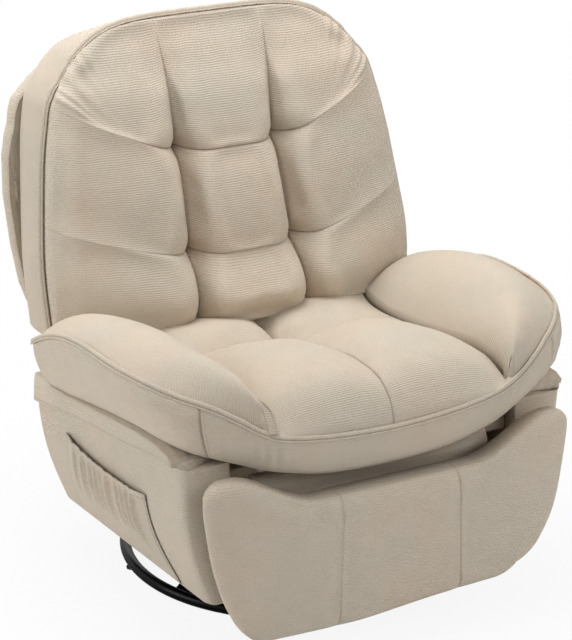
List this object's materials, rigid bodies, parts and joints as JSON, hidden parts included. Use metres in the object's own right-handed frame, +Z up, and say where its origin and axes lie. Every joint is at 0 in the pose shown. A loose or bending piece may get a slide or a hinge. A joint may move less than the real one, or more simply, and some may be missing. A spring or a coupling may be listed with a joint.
{
  "type": "swivel glider recliner",
  "caption": "Upholstered recliner that swivels on a round floor ring, glides on hanging links, leans back, and lifts a padded footrest on side linkages.",
  "frame": {"origin": "middle of the chair's footprint, on the floor", "axes": "+Z up, the chair faces -Y, +X is the sitter's left-hand side"},
  "size_m": [0.9058, 0.9451, 1.01],
  "materials": {
    "upholstery": "matte",
    "black_steel": "satin",
    "zinc_steel": "satin",
    "timber": "matte",
    "black_plastic": "matte"
  },
  "bodies": {
    "floor_base": {"base_ring": "black_steel", "base_spider": "black_steel", "ball_cage": "zinc_steel", "floor_glide_1": "black_plastic", "floor_glide_2": "black_plastic", "floor_glide_3": "black_plastic", "floor_glide_4": "black_plastic"},
    "swivel_carriage": {"turntable": "black_steel", "glider_bracket_left": "black_steel", "glider_bracket_right": "black_steel"},
    "front_glide_links": {"glider_link_front_left": "zinc_steel", "glider_link_front_right": "zinc_steel"},
    "rear_glide_links": {"glider_link_rear_left": "zinc_steel", "glider_link_rear_right": "zinc_steel"},
    "seat_unit": {"mechanism_plate_left": "zinc_steel", "mechanism_plate_right": "zinc_steel", "tie_tube_front": "zinc_steel", "tie_tube_rear": "zinc_steel", "seat_front_rail": "timber", "seat_rear_rail": "timber", "arm_board_left": "timber", "arm_board_right": "timber", "seat_springs": "zinc_steel", "seat_cushion": "upholstery", "band_front": "upholstery", "band_left": "upholstery", "band_right": "upholstery", "arm_pad_left": "upholstery", "arm_pad_right": "upholstery", "side_panel_left": "upholstery", "side_panel_right": "upholstery", "side_pocket": "upholstery", "front_apron": "upholstery", "hinge_plate_left": "zinc_steel", "hinge_plate_right": "zinc_steel", "release_cable": "black_plastic"},
    "backrest": {"back_stile_left": "timber", "back_stile_right": "timber", "back_lower_rail": "timber", "back_upper_rail": "timber", "back_springs": "zinc_steel", "back_bracket_left": "zinc_steel", "back_bracket_right": "zinc_steel", "back_cushion": "upholstery", "back_boxing": "upholstery", "outer_back": "upholstery"},
    "drive_links": {"drive_link_left": "zinc_steel", "drive_link_right": "zinc_steel"},
    "lift_links": {"lift_link_left": "zinc_steel", "lift_link_right": "zinc_steel"},
    "follow_links": {"follow_link_left": "zinc_steel", "follow_link_right": "zinc_steel"},
    "stay_links": {"stay_link_left": "zinc_steel", "stay_link_right": "zinc_steel"},
    "footrest": {"footrest_board": "timber", "footrest_bracket_left": "zinc_steel", "footrest_bracket_right": "zinc_steel", "footrest_cushion": "upholstery"},
    "release_tab": {"release_tab": "upholstery"},
    "trip_lever": {"trip_lever": "zinc_steel"}
  },
  "joints": [
    {"name": "swivel", "type": "hinge", "parent": "floor_base", "child": "swivel_carriage", "pos_m": [0, -0.021, 0.05], "axis": [0, 0, 1], "continuous": true},
    {"name": "glide", "type": "hinge", "parent": "swivel_carriage", "child": "rear_glide_links", "pos_m": [0, 0.089, 0.235], "axis": [1, 0, 0], "range_deg": [-18, 18]},
    {"name": "glide_front", "type": "hinge", "parent": "swivel_carriage", "child": "front_glide_links", "pos_m": [0, -0.131, 0.235], "axis": [1, 0, 0], "range_deg": [-18.2, 18.2]},
    {"name": "seat_level", "type": "hinge", "parent": "rear_glide_links", "child": "seat_unit", "pos_m": [0, 0.089, 0.125], "axis": [1, 0, 0], "range_deg": [-18.2, 18.2]},
    {"name": "recline", "type": "hinge", "parent": "seat_unit", "child": "backrest", "pos_m": [0, 0.179, 0.36], "axis": [-1, 0, 0], "range_deg": [0, 35]},
    {"name": "footrest_open", "type": "hinge", "parent": "seat_unit", "child": "drive_links", "pos_m": [0, -0.2457, 0.2734], "axis": [-1, 0, 0], "range_deg": [0, 123.57]},
    {"name": "footrest_follow", "type": "hinge", "parent": "seat_unit", "child": "follow_links", "pos_m": [0, -0.2033, 0.2995], "axis": [-1, 0, 0], "range_deg": [0, 122.8]},
    {"name": "footrest_lift", "type": "hinge", "parent": "drive_links", "child": "lift_links", "pos_m": [0, -0.11464, 0.18163], "axis": [-1, 0, 0], "range_deg": [-115.3, 0]},
    {"name": "footrest_stay", "type": "hinge", "parent": "follow_links", "child": "stay_links", "pos_m": [0, -0.06075, 0.17741], "axis": [-1, 0, 0], "range_deg": [-113.4, 0]},
    {"name": "footrest_tilt", "type": "hinge", "parent": "lift_links", "child": "footrest", "pos_m": [0, -0.38412, 0.27253], "axis": [-1, 0, 0], "range_deg": [0, 81.7]},
    {"name": "release_pull", "type": "slide", "parent": "seat_unit", "child": "release_tab", "axis": [0, -0.5, 0.866], "range_m": [0, 0.022], "stiffness_N_per_m": 300, "springref_m": -0.002},
    {"name": "lever_trip", "type": "hinge", "parent": "seat_unit", "child": "trip_lever", "pos_m": [-0.251, -0.054, 0.166], "axis": [1, 0, 0], "range_deg": [0, 7]}
  ],
  "couplings": [
    {"joint": "glide_front", "follows": "glide", "ratio": 1},
    {"joint": "seat_level", "follows": "glide", "ratio": -1},
    {"joint": "footrest_follow", "follows": "footrest_open", "ratio": 0.99315},
    {"joint": "footrest_lift", "follows": "footrest_open", "ratio": -0.93222},
    {"joint": "footrest_stay", "follows": "footrest_open", "ratio": -0.91639},
    {"joint": "footrest_tilt", "follows": "footrest_open", "ratio": 0.66052},
    {"joint": "lever_trip", "follows": "release_pull", "rad_per_m": 5.5}
  ]
}
